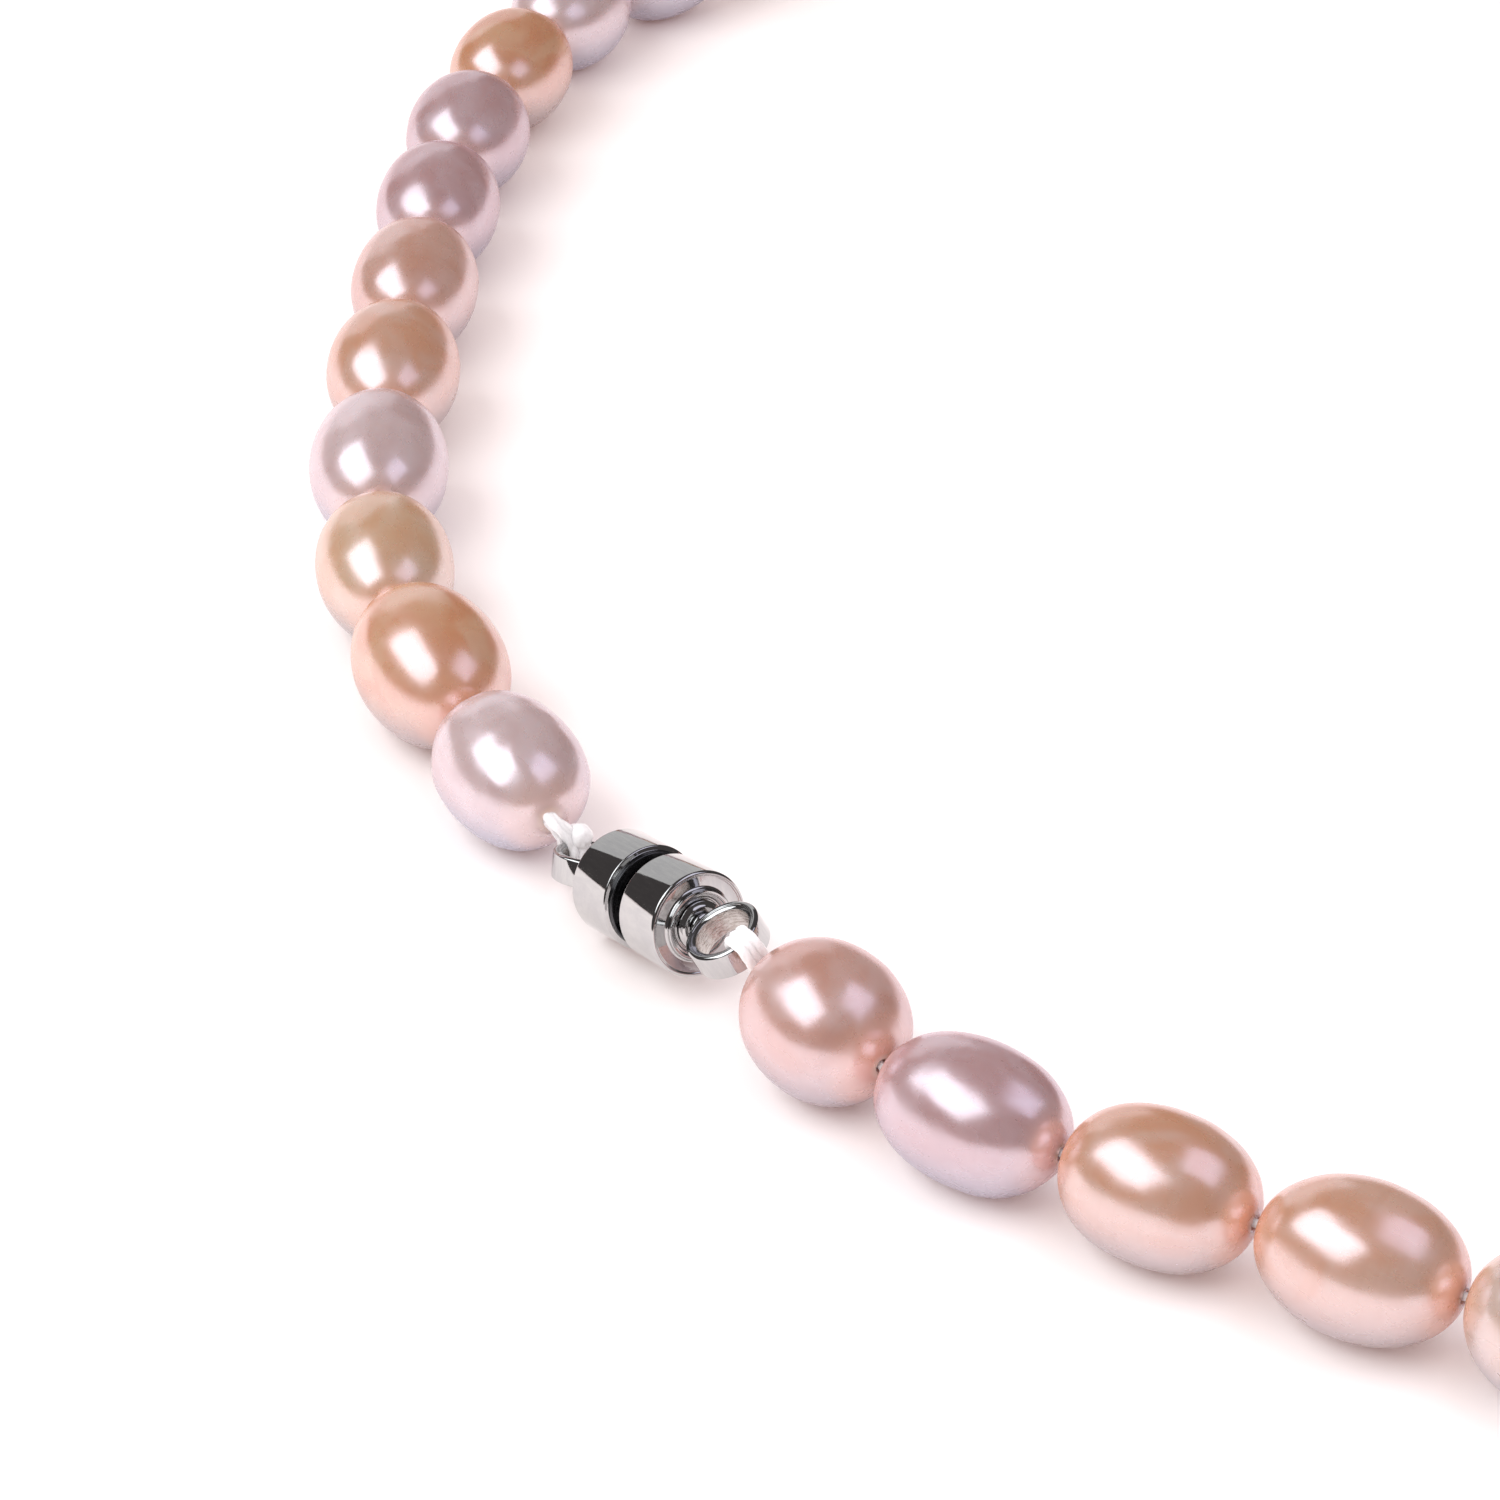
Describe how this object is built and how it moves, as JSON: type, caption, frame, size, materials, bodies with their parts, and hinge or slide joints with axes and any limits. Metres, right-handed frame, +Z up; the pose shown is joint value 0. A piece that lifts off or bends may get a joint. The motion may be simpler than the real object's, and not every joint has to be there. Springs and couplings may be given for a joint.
{
  "type": "pearl necklace",
  "caption": "Single-strand necklace of drilled oval pearls on silk thread, laid in a closed loop and fastened by a magnetic barrel clasp with a ring eye on each half.",
  "frame": {"origin": "middle of the loop's outline in plan, on the surface that the pearls rest on", "axes": "+Z up from the surface; +X along the clasp in plan, from its left half to its right half; +Y from the clasp across the loop"},
  "size_m": [0.1834, 0.1346, 0.0088],
  "materials": {
    "nacre_lilac": "satin-gloss nacre with a soft overtone",
    "nacre_orange": "satin-gloss nacre with a soft overtone",
    "nacre_gold": "satin-gloss nacre with a soft overtone",
    "nacre_peach": "satin-gloss nacre with a soft overtone",
    "nacre_salmon": "satin-gloss nacre with a soft overtone",
    "nacre_mauve": "satin-gloss nacre with a soft overtone",
    "nacre_cream": "satin-gloss nacre with a soft overtone",
    "nacre_rose": "satin-gloss nacre with a soft overtone",
    "silk": "twisted white silk thread",
    "polished_metal": "mirror-polished rhodium plate",
    "magnet_plating": "dark nickel plating"
  },
  "bodies": {
    "pearl_centre": {"pearl_centre": "nacre_rose", "silk_strand": "silk"},
    "pearl_left_20": {"pearl_left_20": "nacre_gold"},
    "pearl_left_19": {"pearl_left_19": "nacre_mauve"},
    "pearl_left_18": {"pearl_left_18": "nacre_rose"},
    "pearl_left_17": {"pearl_left_17": "nacre_salmon"},
    "pearl_left_16": {"pearl_left_16": "nacre_lilac"},
    "pearl_left_15": {"pearl_left_15": "nacre_peach"},
    "pearl_left_14": {"pearl_left_14": "nacre_cream"},
    "pearl_left_13": {"pearl_left_13": "nacre_orange"},
    "pearl_left_12": {"pearl_left_12": "nacre_gold"},
    "pearl_left_11": {"pearl_left_11": "nacre_lilac"},
    "pearl_left_10": {"pearl_left_10": "nacre_lilac"},
    "pearl_left_09": {"pearl_left_09": "nacre_orange"},
    "pearl_left_08": {"pearl_left_08": "nacre_mauve"},
    "pearl_left_07": {"pearl_left_07": "nacre_mauve"},
    "pearl_left_06": {"pearl_left_06": "nacre_salmon"},
    "pearl_left_05": {"pearl_left_05": "nacre_peach"},
    "pearl_left_04": {"pearl_left_04": "nacre_lilac"},
    "pearl_left_03": {"pearl_left_03": "nacre_gold"},
    "pearl_left_02": {"pearl_left_02": "nacre_orange"},
    "pearl_left_01": {"pearl_left_01": "nacre_lilac"},
    "eye_left": {"clasp_eye_left": "polished_metal", "silk_loop_left": "silk"},
    "clasp_half_left": {"clasp_shell_left": "polished_metal", "clasp_magnet_left": "magnet_plating", "clasp_washer_left": "polished_metal"},
    "pearl_right_20": {"pearl_right_20": "nacre_mauve"},
    "pearl_right_19": {"pearl_right_19": "nacre_rose"},
    "pearl_right_18": {"pearl_right_18": "nacre_salmon"},
    "pearl_right_17": {"pearl_right_17": "nacre_lilac"},
    "pearl_right_16": {"pearl_right_16": "nacre_peach"},
    "pearl_right_15": {"pearl_right_15": "nacre_cream"},
    "pearl_right_14": {"pearl_right_14": "nacre_orange"},
    "pearl_right_13": {"pearl_right_13": "nacre_gold"},
    "pearl_right_12": {"pearl_right_12": "nacre_mauve"},
    "pearl_right_11": {"pearl_right_11": "nacre_rose"},
    "pearl_right_10": {"pearl_right_10": "nacre_salmon"},
    "pearl_right_09": {"pearl_right_09": "nacre_lilac"},
    "pearl_right_08": {"pearl_right_08": "nacre_peach"},
    "pearl_right_07": {"pearl_right_07": "nacre_cream"},
    "pearl_right_06": {"pearl_right_06": "nacre_orange"},
    "pearl_right_05": {"pearl_right_05": "nacre_cream"},
    "pearl_right_04": {"pearl_right_04": "nacre_peach"},
    "pearl_right_03": {"pearl_right_03": "nacre_peach"},
    "pearl_right_02": {"pearl_right_02": "nacre_mauve"},
    "pearl_right_01": {"pearl_right_01": "nacre_rose"},
    "eye_right": {"clasp_eye_right": "polished_metal", "silk_loop_right": "silk"},
    "clasp_half_right": {"clasp_shell_right": "polished_metal", "clasp_magnet_right": "magnet_plating", "clasp_washer_right": "polished_metal"}
  },
  "joints": [
    {"name": "pearl_left_20_lift", "type": "hinge", "parent": "pearl_centre", "child": "pearl_left_20", "pos_m": [-0.02834, 0.05941, 0.00421], "axis": [0.3299, 0.944, 0], "range_deg": [0, 12], "deforming": ["silk_strand", "silk_loop_left", "silk_loop_right"]},
    {"name": "pearl_left_19_turn", "type": "hinge", "parent": "pearl_left_20", "child": "pearl_left_19", "pos_m": [-0.03922, 0.06254, 0.00414], "axis": [0, 0, -1], "range_deg": [0, 16]},
    {"name": "pearl_left_18_lift", "type": "hinge", "parent": "pearl_left_19", "child": "pearl_left_18", "pos_m": [-0.05036, 0.06362, 0.00416], "axis": [-0.0263, 0.9997, 0], "range_deg": [0, 12]},
    {"name": "pearl_left_17_turn", "type": "hinge", "parent": "pearl_left_18", "child": "pearl_left_17", "pos_m": [-0.06096, 0.06196, 0.00421], "axis": [0, 0, -1], "range_deg": [0, 16]},
    {"name": "pearl_left_16_lift", "type": "hinge", "parent": "pearl_left_17", "child": "pearl_left_16", "pos_m": [-0.07134, 0.05692, 0.00418], "axis": [-0.5687, 0.8225, 0], "range_deg": [0, 12]},
    {"name": "pearl_left_15_turn", "type": "hinge", "parent": "pearl_left_16", "child": "pearl_left_15", "pos_m": [-0.07911, 0.04942, 0.00414], "axis": [0, 0, -1], "range_deg": [0, 16]},
    {"name": "pearl_left_14_lift", "type": "hinge", "parent": "pearl_left_15", "child": "pearl_left_14", "pos_m": [-0.08443, 0.0397, 0.00418], "axis": [0.9326, -0.3608, 0], "range_deg": [0, 12]},
    {"name": "pearl_left_13_turn", "type": "hinge", "parent": "pearl_left_14", "child": "pearl_left_13", "pos_m": [-0.08716, 0.02862, 0.00421], "axis": [0, 0, -1], "range_deg": [0, 16]},
    {"name": "pearl_left_12_lift", "type": "hinge", "parent": "pearl_left_13", "child": "pearl_left_12", "pos_m": [-0.08766, 0.01798, 0.00416], "axis": [0.9998, 0.0189, 0], "range_deg": [0, 12]},
    {"name": "pearl_left_11_turn", "type": "hinge", "parent": "pearl_left_12", "child": "pearl_left_11", "pos_m": [-0.08676, 0.00657, 0.00413], "axis": [0, 0, -1], "range_deg": [0, 16]},
    {"name": "pearl_left_10_lift", "type": "hinge", "parent": "pearl_left_11", "child": "pearl_left_10", "pos_m": [-0.08525, -0.00402, 0.00413], "axis": [0.9447, 0.3279, 0], "range_deg": [0, 12]},
    {"name": "pearl_left_09_turn", "type": "hinge", "parent": "pearl_left_10", "child": "pearl_left_09", "pos_m": [-0.07994, -0.01307, 0.00413], "axis": [0, 0, -1], "range_deg": [0, 16]},
    {"name": "pearl_left_08_lift", "type": "hinge", "parent": "pearl_left_09", "child": "pearl_left_08", "pos_m": [-0.07366, -0.02124, 0.00417], "axis": [0.7487, 0.6629, 0], "range_deg": [0, 12]},
    {"name": "pearl_left_07_turn", "type": "hinge", "parent": "pearl_left_08", "child": "pearl_left_07", "pos_m": [-0.06625, -0.02853, 0.00417], "axis": [0, 0, -1], "range_deg": [0, 16]},
    {"name": "pearl_left_06_lift", "type": "hinge", "parent": "pearl_left_07", "child": "pearl_left_06", "pos_m": [-0.0577, -0.03545, 0.00415], "axis": [0.6259, 0.7799, 0], "range_deg": [0, 12]},
    {"name": "pearl_left_05_turn", "type": "hinge", "parent": "pearl_left_06", "child": "pearl_left_05", "pos_m": [-0.04886, -0.04249, 0.0042], "axis": [0, 0, -1], "range_deg": [0, 16]},
    {"name": "pearl_left_04_lift", "type": "hinge", "parent": "pearl_left_05", "child": "pearl_left_04", "pos_m": [-0.03953, -0.04938, 0.00428], "axis": [0.5658, 0.8245, 0], "range_deg": [0, 12]},
    {"name": "pearl_left_03_turn", "type": "hinge", "parent": "pearl_left_04", "child": "pearl_left_03", "pos_m": [-0.02933, -0.05588, 0.00422], "axis": [0, 0, -1], "range_deg": [0, 16]},
    {"name": "pearl_left_02_lift", "type": "hinge", "parent": "pearl_left_03", "child": "pearl_left_02", "pos_m": [-0.01909, -0.06065, 0.00428], "axis": [0.2878, 0.9577, 0], "range_deg": [0, 12]},
    {"name": "pearl_left_01_turn", "type": "hinge", "parent": "pearl_left_02", "child": "pearl_left_01", "pos_m": [-0.00712, -0.06256, 0.00425], "axis": [0, 0, -1], "range_deg": [0, 16]},
    {"name": "eye_left_swing", "type": "hinge", "parent": "pearl_left_01", "child": "eye_left", "pos_m": [0.00452, -0.0629, 0.00178], "axis": [0, 0, -1], "range_deg": [0, 30]},
    {"name": "clasp_half_left_swivel", "type": "hinge", "parent": "eye_left", "child": "clasp_half_left", "pos_m": [0.00919, -0.0629, 0.0029], "axis": [-0.9728, 0, -0.2317], "continuous": true},
    {"name": "pearl_right_20_lift", "type": "hinge", "parent": "pearl_centre", "child": "pearl_right_20", "pos_m": [-0.0178, 0.05507, 0.00419], "axis": [-0.4015, -0.9159, 0], "range_deg": [0, 12]},
    {"name": "pearl_right_19_turn", "type": "hinge", "parent": "pearl_right_20", "child": "pearl_right_19", "pos_m": [-0.00792, 0.05047, 0.00414], "axis": [0, 0, 1], "range_deg": [0, 16]},
    {"name": "pearl_right_18_lift", "type": "hinge", "parent": "pearl_right_19", "child": "pearl_right_18", "pos_m": [0.00253, 0.04562, 0.00419], "axis": [-0.4135, -0.9105, 0], "range_deg": [0, 12]},
    {"name": "pearl_right_17_turn", "type": "hinge", "parent": "pearl_right_18", "child": "pearl_right_17", "pos_m": [0.0123, 0.04129, 0.00421], "axis": [0, 0, 1], "range_deg": [0, 16]},
    {"name": "pearl_right_16_lift", "type": "hinge", "parent": "pearl_right_17", "child": "pearl_right_16", "pos_m": [0.0227, 0.0369, 0.00415], "axis": [-0.381, -0.9246, 0], "range_deg": [0, 12]},
    {"name": "pearl_right_15_turn", "type": "hinge", "parent": "pearl_right_16", "child": "pearl_right_15", "pos_m": [0.03312, 0.03271, 0.00415], "axis": [0, 0, 1], "range_deg": [0, 16]},
    {"name": "pearl_right_14_lift", "type": "hinge", "parent": "pearl_right_15", "child": "pearl_right_14", "pos_m": [0.04311, 0.02884, 0.00421], "axis": [-0.3689, -0.9295, 0], "range_deg": [0, 12]},
    {"name": "pearl_right_13_turn", "type": "hinge", "parent": "pearl_right_14", "child": "pearl_right_13", "pos_m": [0.0538, 0.0245, 0.00419], "axis": [0, 0, 1], "range_deg": [0, 16]},
    {"name": "pearl_right_12_lift", "type": "hinge", "parent": "pearl_right_13", "child": "pearl_right_12", "pos_m": [0.06355, 0.01976, 0.00414], "axis": [0.4952, 0.8688, 0], "range_deg": [0, 12]},
    {"name": "pearl_right_11_turn", "type": "hinge", "parent": "pearl_right_12", "child": "pearl_right_11", "pos_m": [0.07276, 0.01368, 0.00417], "axis": [0, 0, 1], "range_deg": [0, 16]},
    {"name": "pearl_right_10_lift", "type": "hinge", "parent": "pearl_right_11", "child": "pearl_right_10", "pos_m": [0.08084, 0.00557, 0.00421], "axis": [-0.7934, -0.6086, 0], "range_deg": [0, 12]},
    {"name": "pearl_right_09_turn", "type": "hinge", "parent": "pearl_right_10", "child": "pearl_right_09", "pos_m": [0.08608, -0.00369, 0.00417], "axis": [0, 0, 1], "range_deg": [0, 16]},
    {"name": "pearl_right_08_lift", "type": "hinge", "parent": "pearl_right_09", "child": "pearl_right_08", "pos_m": [0.08829, -0.01489, 0.00414], "axis": [-0.9997, -0.0238, 0], "range_deg": [0, 12]},
    {"name": "pearl_right_07_turn", "type": "hinge", "parent": "pearl_right_08", "child": "pearl_right_07", "pos_m": [0.0866, -0.02583, 0.00419], "axis": [0, 0, 1], "range_deg": [0, 16]},
    {"name": "pearl_right_06_lift", "type": "hinge", "parent": "pearl_right_07", "child": "pearl_right_06", "pos_m": [0.08141, -0.03531, 0.00421], "axis": [-0.7846, 0.62, 0], "range_deg": [0, 12]},
    {"name": "pearl_right_05_turn", "type": "hinge", "parent": "pearl_right_06", "child": "pearl_right_05", "pos_m": [0.07294, -0.04313, 0.00419], "axis": [0, 0, 1], "range_deg": [0, 16]},
    {"name": "pearl_right_04_lift", "type": "hinge", "parent": "pearl_right_05", "child": "pearl_right_04", "pos_m": [0.06332, -0.04806, 0.00415], "axis": [-0.446, 0.895, 0], "range_deg": [0, 12]},
    {"name": "pearl_right_03_turn", "type": "hinge", "parent": "pearl_right_04", "child": "pearl_right_03", "pos_m": [0.05317, -0.05301, 0.0041], "axis": [0, 0, 1], "range_deg": [0, 16]},
    {"name": "pearl_right_02_lift", "type": "hinge", "parent": "pearl_right_03", "child": "pearl_right_02", "pos_m": [0.04331, -0.05766, 0.00402], "axis": [-0.3802, 0.9249, 0], "range_deg": [0, 12]},
    {"name": "pearl_right_01_turn", "type": "hinge", "parent": "pearl_right_02", "child": "pearl_right_01", "pos_m": [0.03265, -0.06142, 0.00413], "axis": [0, 0, 1], "range_deg": [0, 16]},
    {"name": "eye_right_swing", "type": "hinge", "parent": "pearl_right_01", "child": "eye_right", "pos_m": [0.02203, -0.0629, 0.00596], "axis": [0, 0, 1], "range_deg": [0, 30]},
    {"name": "clasp_half_right_swivel", "type": "hinge", "parent": "eye_right", "child": "clasp_half_right", "pos_m": [0.01736, -0.0629, 0.00484], "axis": [0.9728, 0, 0.2317], "continuous": true}
  ]
}
